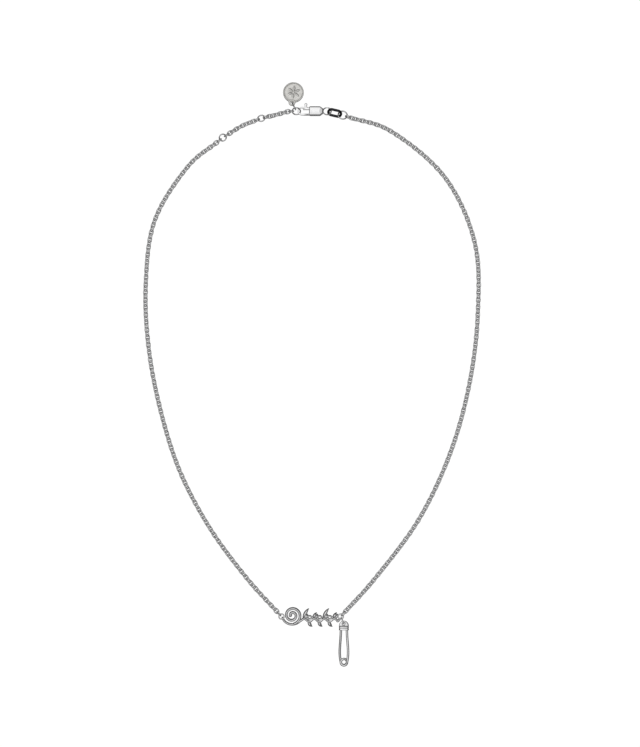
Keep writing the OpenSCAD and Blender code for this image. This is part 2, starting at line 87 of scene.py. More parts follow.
# Tag
TAG_D, TAG_T, TAG_LEAN = 7.0, 0.6, 82
TAG_RIM_W, TAG_SINK = 0.35, 0.12
TAG_EYE_D, TAG_HOLE_D, TAG_GAP = 2.3, 1.2, 0.39

# Relief of the tag's face, and how far its edges are worn down
PETALS, PETAL_REACH, PETAL_SPREAD, PETAL_SLOPE = 6, 0.8, 0.45, 0.42
VEIN_DEPTH, VEIN_W = 0.35, 0.05
BOSS_D, BOSS_SLOPE = 0.84, 0.2
BEADS, BEAD_H, BEAD_LINE_W, BEAD_LINE_IN = 48, 0.55, 0.2, 0.26
WORN = 0.10

# Clasp: the lever's piece is smaller than its solid by LEVER_PLAY, to turn freely in the rounded slot
CLASP_L, NOSE_W, NOSE_GAP = 8.7, 0.5, 0.28
LEVER_PLAY = 0.02

# Scroll plate
PLATE_L, PLATE_T = 20.0, 1.3
LOOP_D, LOOP_UP, LOOP_Z = 2.2, 0.1, JOIN_Z - 0.05
CURL_D, CURL_W, CURL_UP = 6.8, 0.95, 0.4
STEM_W, STEM_MID, WAVE_L, WAVE_H = 0.8, -1.2, 3.38, 0.5
LEAF_L, TALL_LEAF_L, LEAF_W = 2.4, 4.0, 1.15
TENDRIL_D, TENDRIL_W = 2.25, 0.5
CURL_START, CURL_TURNS, CURL_HUB = -75, 1.72, 0.2
TENDRIL_START, TENDRIL_TURNS, TENDRIL_HUB = -100, 1.15, 0.42

# Safety pin
PIN_WIRE, PIN_L = 0.84, 12.9
LEG_GAP, LEG_BULGE, COIL_EYE_D = 2.0, 0.75, 1.25
CAP_HOLE_D, CAP_SKIRT, CAP_HALF_W = 0.96, 2.1, 1.64

# Pressed lines across the cap's skirt and the roll of its lower edge, by their height above that edge
CREASES, CREASE_DEPTH, CREASE_W = (0.55, 1.05), 0.07, 0.09
EDGE_ROLL_UP, EDGE_ROLL_H, EDGE_ROLL_W = 0.12, 0.03, 0.14

# Where the clasp's nose, the two adjuster rings and the plate lie
CLASP_AT = np.array([-4.8, 88.4])
ADJUSTER_INNER_AT = np.array([-17.0, 86.0])
ADJUSTER_OUTER_AT = np.array([-30.0, 79.5])
PLATE_AT = np.array([-0.2, -82.1])

# Fineness: steps along each kind of path, and sides round its wire
RING_STEPS, RING_SIDES = 72, 16
LINK_STEPS, LINK_SIDES = 26, 18
CHAIN_STEPS, CHAIN_SIDES, ROUTE_STEPS = 12, 10, 40
LEG_STEPS, PIN_SIDES, COIL_STEP = 48, 18, 6
STEM_STEPS, TAIL_STEPS, CURL_STEPS, TENDRIL_STEPS, LEAF_STEPS = 90, 6, 130, 50, 26
TAG_AROUND, TAG_LAYERS = 150, 60

# Fineness of the remeshed pieces, and how many rounds of smoothing take off their edges
PLATE_VOXEL, SHELL_VOXEL, CAP_VOXEL, LEVER_VOXEL = 0.062, 0.05, 0.045, 0.04
PLATE_ROUNDS, EDGE_ROUNDS, CROWN_ROUNDS = 2, 12, 3

# Grains and clouds of the metals, in cells per metre, and their depth in metres
CLOUDS, FINE_GRAIN, TAG_GRAIN = 900, 9000, 5200
FINE_DEPTH, TAG_DEPTH = 0.00001, 0.00004

# The studio's surround: direction of its brightest part, and its grey from straight below to straight above
LIGHT_FROM = (-0.18, 0.20, 1)
SURROUND = [(0.0, 0.28), (0.34, 0.20), (0.46, 0.02), (0.58, 0.02), (0.74, 0.20), (0.89, 0.85), (1.0, 1.1)]

# Floor: half its width and its height in metres, its grey, and how brightly it glows on what lies on it
FLOOR_SIZE, FLOOR_Z, FLOOR_GREY, FLOOR_GLOW = 2.0, -0.00002, 0.10, 0.05

# Camera, straight above the necklace as in the photograph, in metres
CAMERA_AT = (0.00279, -0.00005, 0.7008)
CAMERA_LENS = 100


# Materials

def new_material(name):
    mat = bpy.data.materials.new(name)
    mat.use_nodes = True
    nodes = mat.node_tree.nodes
    return mat, nodes, mat.node_tree.links, nodes["Principled BSDF"]


def noise(nodes, links, scale, detail, rough=0.5):
    """Noise in the piece's own space, with that many cells per metre."""
    where = nodes.new("ShaderNodeTexCoord")
    tex = nodes.new("ShaderNodeTexNoise")
    tex.inputs["Scale"].default_value = scale
    tex.inputs["Detail"].default_value = detail
    tex.inputs["Roughness"].default_value = rough
    links.new(where.outputs["Object"], tex.inputs["Vector"])
    return tex.outputs["Fac"]


def spread(nodes, links, source, low, high, start=0.3, end=0.7):
    """The source from start to end, spread over low to high."""
    ramp = nodes.new("ShaderNodeMapRange")
    ramp.inputs["From Min"].default_value = start
    ramp.inputs["From Max"].default_value = end
    ramp.inputs["To Min"].default_value = low
    ramp.inputs["To Max"].default_value = high
    links.new(source, ramp.inputs["Value"])
    return ramp.outputs["Result"]


def tint(nodes, links, source, dark, light):
    """A colour between dark and light, by the source."""
    ramp = nodes.new("ShaderNodeValToRGB")
    first, last = ramp.color_ramp.elements
    first.position, last.position = 0.3, 0.7
    first.color, last.color = (*dark, 1), (*light, 1)
    links.new(source, ramp.inputs["Fac"])
    return ramp.outputs["Color"]


def metal(name, dark, light, rough, grain, depth, strength, metallic=1.0):
    """Metal with a cloudy tint, uneven polish and a fine grain of that depth in metres."""
    mat, nodes, links, shader = new_material(name)
    shader.inputs["Metallic"].default_value = metallic
    cloud = noise(nodes, links, CLOUDS, 4)
    fine = noise(nodes, links, grain, 5, 0.6)
    links.new(tint(nodes, links, cloud, dark, light), shader.inputs["Base Color"])
    links.new(spread(nodes, links, fine, *rough), shader.inputs["Roughness"])
    bump = nodes.new("ShaderNodeBump")
    bump.inputs["Strength"].default_value = strength
    bump.inputs["Distance"].default_value = depth
    links.new(fine, bump.inputs["Height"])
    links.new(bump.outputs["Normal"], shader.inputs["Normal"])
    return mat


SILVER = metal("silver_polish", dark=(0.80, 0.80, 0.81), light=(0.90, 0.90, 0.90), rough=(0.08, 0.16),
               grain=FINE_GRAIN, depth=FINE_DEPTH, strength=0.10)
CHAIN_SILVER = metal("chain_polish", dark=(0.88, 0.88, 0.89), light=(0.97, 0.97, 0.97), rough=(0.12, 0.20),
                     grain=FINE_GRAIN, depth=FINE_DEPTH, strength=0.12, metallic=0.7)
SATIN = metal("satin_tag", dark=(0.66, 0.65, 0.62), light=(0.84, 0.83, 0.80), rough=(0.30, 0.42),
              grain=TAG_GRAIN, depth=TAG_DEPTH, strength=0.45)
DARK = metal("dark_polish", dark=(0.030, 0.030, 0.034), light=(0.055, 0.055, 0.060), rough=(0.10, 0.18),
             grain=FINE_GRAIN, depth=FINE_DEPTH, strength=0.08)


# Places and directions

def turn(x=0.0, y=0.0, z=0.0):
    """Rotation about X, then Y, then Z, in degrees, as a 3x3 array."""
    about = [Matrix.Rotation(math.radians(a), 3, axis) for a, axis in ((z, "Z"), (y, "Y"), (x, "X"))]
    return np.array(about[0] @ about[1] @ about[2])


def unit(angle):
    return np.array([math.cos(math.radians(angle)), math.sin(math.radians(angle))])


def heading(a, b):
    return math.degrees(math.atan2(b[1] - a[1], b[0] - a[0]))


def step_to(start, reach, angle):
    return np.array([start[0], start[1]]) + reach * unit(angle)


def lifted(p, z):
    return np.array([p[0], p[1], z])


def ring_r(d, wire=WIRE):
    return (d - wire) / 2


def smooth_step(x, a, b):
    u = np.clip((x - a) / (b - a), 0, 1)
    return u * u * (3 - 2 * u)


# Meshes as points in millimetres and faces

def frames(path, closed):
    """Side and up directions along a path."""
    d = np.roll(path, -1, 0) - np.roll(path, 1, 0) if closed else np.gradient(path, axis=0)
    t = d / np.linalg.norm(d, axis=1)[:, None]
    side = np.cross((0.0, 0.0, 1.0), t)
    side /= np.linalg.norm(side, axis=1)[:, None]
    return side, np.cross(t, side)


def skin(rings, closed):
    """Rings of points (n, sides, 3) joined into a tube."""
    n, sides = rings.shape[:2]
    faces = []
    for i in range(n if closed else n - 1):
        j = (i + 1) % n
        for k in range(sides):
            m = (k + 1) % sides
            faces.append((i * sides + k, i * sides + m, j * sides + m, j * sides + k))
    if not closed:
        faces.append(tuple(range(sides - 1, -1, -1)))
        faces.append(tuple((n - 1) * sides + k for k in range(sides)))
    return rings.reshape(-1, 3), faces


def round_tube(path, radius, sides, closed=False):
    """Round wire along a path, of one radius or of one for each of its points."""
    path = np.asarray(path, float)
    side, over = frames(path, closed)
    a = np.arange(sides) * 2 * math.pi / sides
    r = np.broadcast_to(radius, len(path))[:, None, None]
    ring = np.cos(a)[None, :, None] * side[:, None, :] + np.sin(a)[None, :, None] * over[:, None, :]
    return skin(path[:, None, :] + r * ring, closed)


def moved(part, at, x=0.0, y=0.0, z=0.0):
    """A part turned about its origin and then put at a place."""
    points, faces = part
    return points @ turn(x, y, z).T + at, faces


def joined(parts):
    """Several parts as one."""
    points, faces, base = [], [], 0
    for p, f in parts:
        points.append(p)
        faces += [tuple(i + base for i in face) for face in f]
        base += len(p)
    return np.vstack(points), faces


def raw_mesh(name, part):
    """A mesh of a part, its faces all turned outwards."""
    points, faces = part
    mesh = bpy.data.meshes.new(name)
    mesh.from_pydata([tuple(p) for p in points], [], faces)
    bm = bmesh.new()
    bm.from_mesh(mesh)
    bmesh.ops.recalc_face_normals(bm, faces=bm.faces)
    bm.to_mesh(mesh)
    bm.free()
    return mesh


def cad_copy(node):
    """The mesh of a CAD node in millimetres, with its corners joined."""
    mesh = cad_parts[node].data.copy()
    mesh.transform(Matrix.Scale(1 / MM, 4))
    bm = bmesh.new()
    bm.from_mesh(mesh)
    bmesh.ops.remove_doubles(bm, verts=bm.verts, dist=0.0005)
    bm.to_mesh(mesh)
    bm.free()
    return mesh


def reshaped(mesh, form):
    """The mesh with its points moved to where form puts them, from their places and normals."""
    count = 3 * len(mesh.vertices)
    points, normals = np.empty(count), np.empty(count)
    mesh.vertices.foreach_get("co", points)
    mesh.vertex_normals.foreach_get("vector", normals)
    mesh.vertices.foreach_set("co", form(points.reshape(-1, 3), normals.reshape(-1, 3)).ravel())
    mesh.update()
    return mesh


def with_modifiers(mesh, *steps):
    """The mesh after these modifiers, each given by its type and its values."""
    holder = bpy.data.objects.new("holder", mesh)
    bpy.context.scene.collection.objects.link(holder)
    for kind, values in steps:
        modifier = holder.modifiers.new(kind.lower(), kind)
        for key, value in values.items():
            setattr(modifier, key, value)
    bpy.context.view_layer.update()
    graph = bpy.context.evaluated_depsgraph_get()
    made = bpy.data.meshes.new_from_object(holder.evaluated_get(graph))
    bpy.data.objects.remove(holder)
    return made


def smoothing(rounds):
    return "SMOOTH", {"factor": 0.5, "iterations": rounds}


def remeshed(mesh, voxel, rounds, fill=0.0):
    """One skin with its edges rounded, and what the rounding wears off its faces filled up again."""
    made = with_modifiers(mesh, ("REMESH", {"mode": "VOXEL", "voxel_size": voxel}), smoothing(rounds))
    return reshaped(made, lambda points, normals: points + normals * fill)


def crowned(mesh, low, reach, outer=lambda points: True):
    """The mesh with its faces bent down to its side walls over that reach, but not below low from JOIN_Z.

    Only walls where outer holds count, and a face keeps a share of its height where it meets them.
    """
    steepest_face, kept = 0.6, 0.15

    def form(points, normals):
        height = np.abs(points[:, 2] - JOIN_Z)
        walls = points[(np.abs(normals[:, 2]) < steepest_face) & (height > low) & outer(points)]
        tree = KDTree(len(walls))
        for i, (x, y, _) in enumerate(walls):
            tree.insert((x, y, 0), i)
        tree.balance()
        inside = np.array([tree.find((x, y, 0))[2] for x, y, _ in points]) / reach
        share = kept + (1 - kept) * np.sqrt(1 - (1 - np.minimum(inside, 1)) ** 2)
        height = np.minimum(height, low) + np.maximum(height - low, 0) * share
        return np.column_stack([points[:, :2], JOIN_Z + np.copysign(height, points[:, 2] - JOIN_Z)])

    return with_modifiers(reshaped(mesh, form), smoothing(CROWN_ROUNDS))


def place(name, mesh, material, nodes, body="necklace"):
    """A piece of the scene from a mesh in millimetres, in place of its CAD nodes."""
    mesh.transform(Matrix.Scale(MM, 4))
    mesh.materials.clear()
    mesh.materials.append(material)
    for poly in mesh.polygons:
        poly.use_smooth = True
    obj = bpy.data.objects.new(name, mesh)
    bpy.context.scene.collection.objects.link(obj)
    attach(obj, body)
    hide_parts(*nodes)


def silver(name, part, node, material=SILVER):
    place(name, raw_mesh(name, part), material, [node])


# Rings and links

def ring_part(at, outer_d, lean=0.0, roll=0.0, seam=140.0):
    """Ring of round wire with the fine groove of its soldered joint at the angle seam."""
    groove, groove_w = 0.08, 4
    r = ring_r(outer_d)
    angles = np.arange(RING_STEPS) * 360 / RING_STEPS
    path = np.array([[*(r * unit(a)), 0] for a in angles])
    away = np.abs((angles - seam + 180) % 360 - 180)
    radius = WIRE / 2 * (1 - groove * np.exp(-(away / groove_w) ** 2))
    return moved(round_tube(path, radius, RING_SIDES, True), at, roll, 0, lean)


def stadium(l, w, wire, steps):
    """Centreline of a long link with round ends, in its own plane."""
    r, s = (w - wire) / 2, (l - w) / 2
    right = [(s + r * math.cos(a), r * math.sin(a), 0) for a in np.linspace(-math.pi / 2, math.pi / 2, steps)]
    return np.array(right + [(-x, -y, 0) for x, y, _ in right])


def link_part(at, l, w, wire=WIRE, lean=0.0, pitch=0.0, roll=0.0):
    tube = round_tube(stadium(l, w, wire, LINK_STEPS), wire / 2, LINK_SIDES, True)
    return moved(tube, at, roll, pitch, lean)


END_R, ADJUSTER_R = ring_r(END_RING_D), ring_r(ADJUSTER_D)
TAIL_R, SIDE_R, LOOP_R = ring_r(TAIL_RING_D), ring_r(SIDE_RING_D), ring_r(LOOP_D)
END_RING_AT = CLASP_AT + [NOSE_W + NOSE_GAP + WIRE / 2 - END_R, 0]
TAIL_RING_AT = CLASP_AT + [CLASP_L + TAIL_R - WIRE / 4, 0]
OVAL_HALF = ring_r(OVAL_L, OVAL_WIRE)
OVAL_OVERLAP = (WIRE + OVAL_WIRE) / 2 + OVAL_GAP
OVAL_AT = step_to(TAIL_RING_AT, TAIL_R + OVAL_HALF - OVAL_OVERLAP, OVAL_LEAN)
SIDE_RING_AT = step_to(OVAL_AT, OVAL_HALF + SIDE_R - OVAL_OVERLAP, SIDE_LEAN)
LOOP_LEFT_AT = PLATE_AT + [-PLATE_L / 2, LOOP_UP]
LOOP_RIGHT_AT = PLATE_AT + [PLATE_L / 2, LOOP_UP]


def add_rings():
    """The end ring, both adjuster rings, the side ring and the dark oval link."""
    to_end = heading(ADJUSTER_OUTER_AT, END_RING_AT)
    to_inner = heading(ROUTE_LEFT[0], ADJUSTER_INNER_AT)
    end = ring_part(lifted(END_RING_AT, JOIN_Z), END_RING_D, roll=END_RING_ROLL, seam=250)
    inner = ring_part(lifted(ADJUSTER_INNER_AT, JOIN_Z), ADJUSTER_D, to_end, -ADJUSTER_ROLL, seam=80)
    outer = ring_part(lifted(ADJUSTER_OUTER_AT, JOIN_Z), ADJUSTER_D, to_inner, ADJUSTER_ROLL, seam=95)
    side = ring_part(lifted(SIDE_RING_AT, JOIN_Z), SIDE_RING_D, SIDE_LEAN, SIDE_ROLL, seam=285)
    oval = link_part(lifted(OVAL_AT, JOIN_Z), OVAL_L, OVAL_W, OVAL_WIRE, OVAL_LEAN, roll=OVAL_ROLL)
    silver("end_ring", end, "ring_end")
    silver("adjuster_ring_inner", inner, "ring_adjuster_inner")
    silver("adjuster_ring_outer", outer, "ring_adjuster_outer")
    silver("side_ring", side, "ring_side")
    place("oval_link_dark", raw_mesh("oval_link", oval), DARK, ["oval_link"])


# Chain

def through(points, steps):
    """Smooth curve through points, as the CAD's tube runs."""
    p = [np.array(q, float) for q in points]
    q = [2 * p[0] - p[1]] + p + [2 * p[-1] - p[-2]]
    out = []
    for i in range(len(p) - 1):
        a, b, c, d = q[i:i + 4]
        for t in np.arange(steps) / steps:
            out.append(0.5 * (2 * b + (c - a) * t + (2 * a - 5 * b + 4 * c - d) * t * t
                              + (3 * b - a - 3 * c + d) * t ** 3))
    out.append(p[-1])
    return np.array(out)


def chain_part(start, start_r, start_roll, route, end, end_r, end_roll):
    """Cable chain between two rings, its links tilted to either side by turns, steeper near its ends.

    The count of links is odd where both ends lean the same way, and even where they lean to either side.
    """
    look = 0.6
    reach = (LINK_L - CHAIN_WIRE) / 2 - WIRES_GAP
    first = lifted(step_to(start, start_r + reach, heading(start, route[0])), JOIN_Z)
    last = lifted(step_to(end, end_r + reach, heading(end, route[-1])), JOIN_Z)
    path = through([first] + [lifted(p, CHAIN_Z) for p in route] + [last], ROUTE_STEPS)
    path[:, 2] = np.maximum(path[:, 2], LINK_Z)
    run = np.concatenate([[0], np.cumsum(np.linalg.norm(np.diff(path, axis=0), axis=1))])
    odd = int(start_roll != end_roll)
    last_k = 2 * round((run[-1] / LINK_PITCH - odd) / 2) + odd

    def at(s):
        return np.array([np.interp(s, run, path[:, i]) for i in range(3)])

    centreline = stadium(LINK_L, LINK_W, CHAIN_WIRE, CHAIN_STEPS)
    base, faces = round_tube(centreline, CHAIN_WIRE / 2, CHAIN_SIDES, True)
    parts = []
    for k in range(last_k + 1):
        s = run[-1] * k / last_k
        ahead = at(min(s + look, run[-1])) - at(max(s - look, 0))
        x = ahead / np.linalg.norm(ahead)
        side = np.cross((0, 0, 1), x)
        side /= np.linalg.norm(side)
        from_end = min(k, last_k - k)
        steeper = (EYE_ROLL - LINK_TILT) * EYE_FADE ** from_end
        loose = 1 if from_end else 0
        tilt = math.copysign(LINK_TILT, start_roll * (-1) ** k)
        roll = tilt + math.copysign(steeper, start_roll if k < last_k / 2 else end_roll)
        roll += loose * random.uniform(-LOOSE_ROLL, LOOSE_ROLL)
        yaw = loose * random.uniform(-LOOSE_YAW, LOOSE_YAW)
        own = turn(z=yaw).T @ turn(x=roll).T @ np.array([x, side, np.cross(x, side)])
        parts.append((base @ own + at(s), faces))
    return joined(parts)


def add_chains():
    right = chain_part(SIDE_RING_AT, SIDE_R, EYE_ROLL, ROUTE_RIGHT, LOOP_RIGHT_AT, LOOP_R, EYE_ROLL)
    left = chain_part(ADJUSTER_OUTER_AT, ADJUSTER_R, EYE_ROLL, ROUTE_LEFT, LOOP_LEFT_AT, LOOP_R, EYE_ROLL)
    outer = chain_part(ADJUSTER_INNER_AT, ADJUSTER_R, -EYE_ROLL, ROUTE_OUTER,
                       ADJUSTER_OUTER_AT, ADJUSTER_R, EYE_ROLL)
    inner = chain_part(END_RING_AT, END_R, EYE_ROLL, ROUTE_INNER, ADJUSTER_INNER_AT, ADJUSTER_R, -EYE_ROLL)
    for name, part in (("right", right), ("left", left), ("outer", outer), ("inner", inner)):
        silver("chain_links_" + name, part, "chain_" + name, CHAIN_SILVER)


# Tag

def petals(x, y, petal_r):
    """Domed petals round the middle, each with a vein."""
    shift = petal_r * PETAL_SPREAD
    reach = math.hypot(shift, petal_r / 2)
    high = np.zeros_like(x)
    for k in range(PETALS):
        c, s = unit(360 / PETALS * k)
        u, v = x * c + y * s - petal_r / 2, -x * s + y * c
        inside = reach - np.maximum(np.hypot(u, v - shift), np.hypot(u, v + shift))
        vein = VEIN_DEPTH * np.exp(-(v / VEIN_W) ** 2) * smooth_step(inside, 0.05, 0.25)
        high = np.maximum(high, smooth_step(inside, 0, PETAL_SLOPE) * (1 - vein))
    return high


def tag_relief(r, phi):
    """Height of the tag's face over its rim: sunken field, petals, boss, beaded line and worn edge."""
    field_r = TAG_D / 2 - TAG_RIM_W
    rim = smooth_step(r, field_r - 0.12, field_r + 0.06)
    edge = WORN * smooth_step(r, TAG_D / 2 - 0.14, TAG_D / 2) ** 2
    rosette = petals(r * np.cos(phi), r * np.sin(phi), field_r * PETAL_REACH)
    boss = smooth_step(BOSS_D / 2 - r, 0, BOSS_SLOPE)
    line = smooth_step(BEAD_LINE_W / 2 - np.abs(r - field_r + BEAD_LINE_IN), 0, 0.1)
    beads = line * (0.55 + 0.45 * np.cos(BEADS * phi))
    return TAG_SINK * (rim - 1 + np.maximum(rosette, boss) + BEAD_H * beads) - edge


def tag_plate():
    """Round plate about the origin, in rings of points from its face over its edge to its back."""
    half, low = TAG_T / 2, -TAG_T / 2
    phi = np.arange(TAG_AROUND) * 2 * math.pi / TAG_AROUND

    def layer(r, z):
        return np.stack([r * np.cos(phi), r * np.sin(phi), np.broadcast_to(z, TAG_AROUND)], 1)

    layers = [layer(r, half + tag_relief(np.full(TAG_AROUND, r), phi))
              for r in np.linspace(0.02, TAG_D / 2, TAG_LAYERS)]
    top, worn = layers[-1][:, 2], low + WORN
    layers += [layer(TAG_D / 2, worn + share * (top - worn)) for share in (0.75, 0.5, 0.25, 0.0)]
    layers += [layer(TAG_D / 2 - inset, low + WORN * max(0.0, 1 - inset / WORN) ** 2)
               for inset in (0.04, 0.10, 0.16, 0.8, 1.8, 3.0, 3.48)]
    return skin(np.array(layers), False)


def tag_eye():
    """Flat ring with rounded edges, left open for the link."""
    half_w, mid = (TAG_EYE_D - TAG_HOLE_D) / 4, (TAG_EYE_D + TAG_HOLE_D) / 4
    squareness, sides, steps = 0.55, 20, 48
    section = []
    for c, s in (unit(360 / sides * k) for k in range(sides)):
        section.append((half_w * math.copysign(abs(c) ** squareness, c),
                        TAG_T / 2 * math.copysign(abs(s) ** squareness, s)))
    rings = [[(*((mid + u) * unit(360 / steps * k)), v) for u, v in section] for k in range(steps)]
    return skin(np.array(rings), True)


def add_tag():
    """Tag and its link, hung from the raised upper left of the end ring, and down to the table."""
    lean, roll = math.radians(TAG_LINK_LEAN), math.radians(END_RING_ROLL)
    on_ring = math.atan(math.tan(lean) / math.cos(roll)) + math.pi
    hook_rise = END_R * math.sin(on_ring) * math.sin(roll)
    hook_reach = END_R * math.hypot(math.cos(on_ring), math.sin(on_ring) * math.cos(roll))
    half = ring_r(TAG_LINK_L)
    drop = hook_rise - LINK_GAP
    pitch = math.asin(drop / (2 * (half - WIRE - LINK_GAP)))
    reach = half * math.cos(pitch)
    link_at = step_to(END_RING_AT, hook_reach - WIRE - LINK_GAP + reach, TAG_LINK_LEAN)
    eye_at = step_to(link_at, reach - (TAG_HOLE_D / 2 - WIRE / 2 - TAG_GAP), TAG_LINK_LEAN)
    hanger = link_part(lifted(link_at, JOIN_Z + drop / 2), TAG_LINK_L, SMALL_LINK_W,
                       lean=TAG_LINK_LEAN, pitch=math.degrees(pitch), roll=90)
    silver("tag_hanger", hanger, "tag_link")
    tilt = math.degrees(math.asin((JOIN_Z - TAG_T / 2) / TAG_D))
    tag = joined([moved(tag_plate(), (TAG_D / 2, 0, 0)), tag_eye()])
    tag = moved(tag, lifted(eye_at, JOIN_Z), 0, tilt, TAG_LEAN)
    place("tag_round", raw_mesh("tag", tag), SATIN, ["tag_disc"])


# Clasp

def add_clasp():
    """The CAD's clasp and lever with their edges rounded and their faces crowned."""
    shell = crowned(remeshed(cad_copy("clasp_body"), SHELL_VOXEL, EDGE_ROUNDS), low=0.42, reach=0.42)
    lever = remeshed(cad_copy("clasp_lever"), LEVER_VOXEL, EDGE_ROUNDS, fill=-LEVER_PLAY)
    lever = crowned(lever, low=0.10, reach=0.35)
    place("clasp_shell", shell, SILVER, ["clasp_body"])
    place("clasp_thumb_lever", lever, SILVER, ["clasp_lever"], "lever")


# Scroll plate: local origin halfway between its loops

CURL_AT = np.array([-PLATE_L / 2 + CURL_D / 2 + 0.2, CURL_UP])
CURL_R = (CURL_D - CURL_W) / 2
TENDRIL_R = (TENDRIL_D - TENDRIL_W) / 2
STEM_FOOT = (CURL_R + 0.42, CURL_R + 0.12)
WAVE_FROM = CURL_AT[0] + CURL_R + 0.3
STEM_FROM, STEM_END = WAVE_FROM + 0.2, PLATE_L / 2 - LOOP_D / 2 - 0.2
STEM_TAIL = [(STEM_END + 0.2, STEM_MID - 0.33), (STEM_END + 0.5, STEM_MID - 0.22),
             (STEM_END + 0.72, STEM_MID + 0.08), (PLATE_L / 2 - 0.4, LOOP_UP - LOOP_R - 0.05)]
WAVES = math.floor((STEM_END - WAVE_FROM) / (WAVE_L / 2))

# Leaves by the direction of their foot and how far they bend from there
UPPER_LEAF, SIDE_LEAF, LOWER_LEAF = (80, -36), (38, 35), (-75, 45)

# Half of a band's section, domed above, as shares of half its width and of its height
HALF_SECTION = [(0.0, 1.0), (0.2, 0.99), (0.45, 0.94), (0.68, 0.85), (0.85, 0.72), (0.95, 0.58), (1.0, 0.42),
                (1.0, 0.05), (0.93, 0.0)]
SECTION = [(-u, v) for u, v in HALF_SECTION[:0:-1]] + HALF_SECTION


def stem_y(x):
    return STEM_MID + WAVE_H * math.sin(2 * math.pi * (x - WAVE_FROM) / WAVE_L)


def stem_path():
    """The stem rolls round the big curl, waves, and rises to the right loop."""
    roll = [CURL_AT + STEM_FOOT * unit(a) for a in range(196, 318, 4)]
    wave = [np.array([x, stem_y(x)]) for x in np.linspace(STEM_FROM, STEM_END, STEM_STEPS)]
    tail = through([wave[-1]] + STEM_TAIL, TAIL_STEPS)
    return np.array(roll + wave + list(tail)[1:])


def curl_path(at, r, start, turns, hub, steps):
    """Spiral from radius r in to the share hub of it."""
    share = np.linspace(0, 1, steps + 1)
    return np.array([at + r * (1 - (1 - hub) * u) * unit(start + 360 * turns * u) for u in share])


def leaf_path(at, leaf, l):
    """Arc of length l, from the direction of the leaf's foot."""
    lean, bend = leaf
    r = l / math.radians(bend)
    angles = np.radians(lean + bend * np.linspace(0, 1, LEAF_STEPS + 1))
    return at + r * np.stack([np.sin(angles) - np.sin(angles[0]), np.cos(angles[0]) - np.cos(angles)], 1)


def leaf_widths(w):
    """Width along a leaf, narrow at its foot, fullest at its middle and pointed at its tip."""
    share = np.sin(np.radians(22 + 156 * np.linspace(0, 1, LEAF_STEPS + 1)))
    return w * np.maximum(0.14, share ** 0.8)


def band_part(path, widths, height):
    """Domed band along a flat path, with round ends."""
    path = np.column_stack([path, np.zeros(len(path))])
    widths = np.broadcast_to(widths, len(path)).astype(float)
    side, _ = frames(path, False)
    ahead = np.cross(side, (0, 0, 1))
    rows = list(zip(path, side, widths))
    for i, along in ((0, -1), (len(path) - 1, 1)):
        cap = [(path[i] + along * ahead[i] * widths[i] / 2 * unit(q)[1], side[i], widths[i] * unit(q)[0])
               for q in (20, 40, 60, 80)]
        rows = rows + cap if along > 0 else cap[::-1] + rows
    rings = []
    for p, s, w in rows:
        h = height * (0.5 + 0.5 * min(1.0, w / widths.max()))
        rings.append([p + s * (u * w / 2) + np.array([0, 0, v * h]) for u, v in SECTION])
    return skin(np.array(rings), False)


def ornament_parts():
    """The stem, the big curl with its hub, and by turns two upper leaves, or a lower leaf and a tendril."""
    stem = stem_path()
    curl = curl_path(CURL_AT, CURL_R, CURL_START, CURL_TURNS, CURL_HUB, CURL_STEPS)
    parts = [band_part(stem, STEM_W, PLATE_T * 0.92), band_part(curl, CURL_W, PLATE_T)]
    parts.append(band_part(curl[-1] + np.array([[-0.03, -0.03], [0.03, 0.03]]), 1.1 * CURL_W, PLATE_T))
    for k in range(WAVES):
        x = WAVE_FROM + WAVE_L / 2 * (k + 0.5)
        at = np.array([x, stem_y(x)])
        if k % 2 == 0:
            upper = leaf_path(at - [0.25, 0], UPPER_LEAF, TALL_LEAF_L if k % 4 == 0 else LEAF_L)
            side = leaf_path(at + [0.1, 0], SIDE_LEAF, 0.85 * LEAF_L)
            parts.append(band_part(upper, leaf_widths(LEAF_W), PLATE_T))
            parts.append(band_part(side, leaf_widths(0.75 * LEAF_W), PLATE_T * 0.9))
        else:
            lower = leaf_path(at - [0.25, 0], LOWER_LEAF, 0.9 * LEAF_L)
            tendril = curl_path(at + [0.1, TENDRIL_R + 0.45], TENDRIL_R,
                                TENDRIL_START, TENDRIL_TURNS, TENDRIL_HUB, TENDRIL_STEPS)
            parts.append(band_part(lower, leaf_widths(LEAF_W), PLATE_T))
            parts.append(band_part(tendril, TENDRIL_W, PLATE_T * 0.88))
    return parts


def add_plate():
    """The ornament and its two loops in one skin."""
    plate = joined([moved(joined(ornament_parts()), lifted(PLATE_AT, 0)),
                    ring_part(lifted(LOOP_LEFT_AT, LOOP_Z), LOOP_D),
                    ring_part(lifted(LOOP_RIGHT_AT, LOOP_Z), LOOP_D)])
    mesh = remeshed(raw_mesh("plate", plate), PLATE_VOXEL, PLATE_ROUNDS)
    place("scroll_plate", mesh, SILVER, ["nameplate"])


# Safety pin: local origin at the cap's hole

PIN_LINK_HALF = ring_r(PIN_LINK_L)
PIN_LINK_AT = step_to(LOOP_RIGHT_AT, LOOP_R - WIRE - LINK_GAP + PIN_LINK_HALF, PIN_LINK_LEAN)
PIN_SLACK = ring_r(CAP_HOLE_D) - LINK_GAP
CAP_HOLE_AT = step_to(PIN_LINK_AT, PIN_LINK_HALF - PIN_SLACK, PIN_LINK_LEAN)
COIL_R = (COIL_EYE_D + PIN_WIRE) / 2
COIL_PITCH = PIN_WIRE + 0.05
COIL_Z = PIN_WIRE / 2
LEG_TOP = -CAP_SKIRT + 0.95


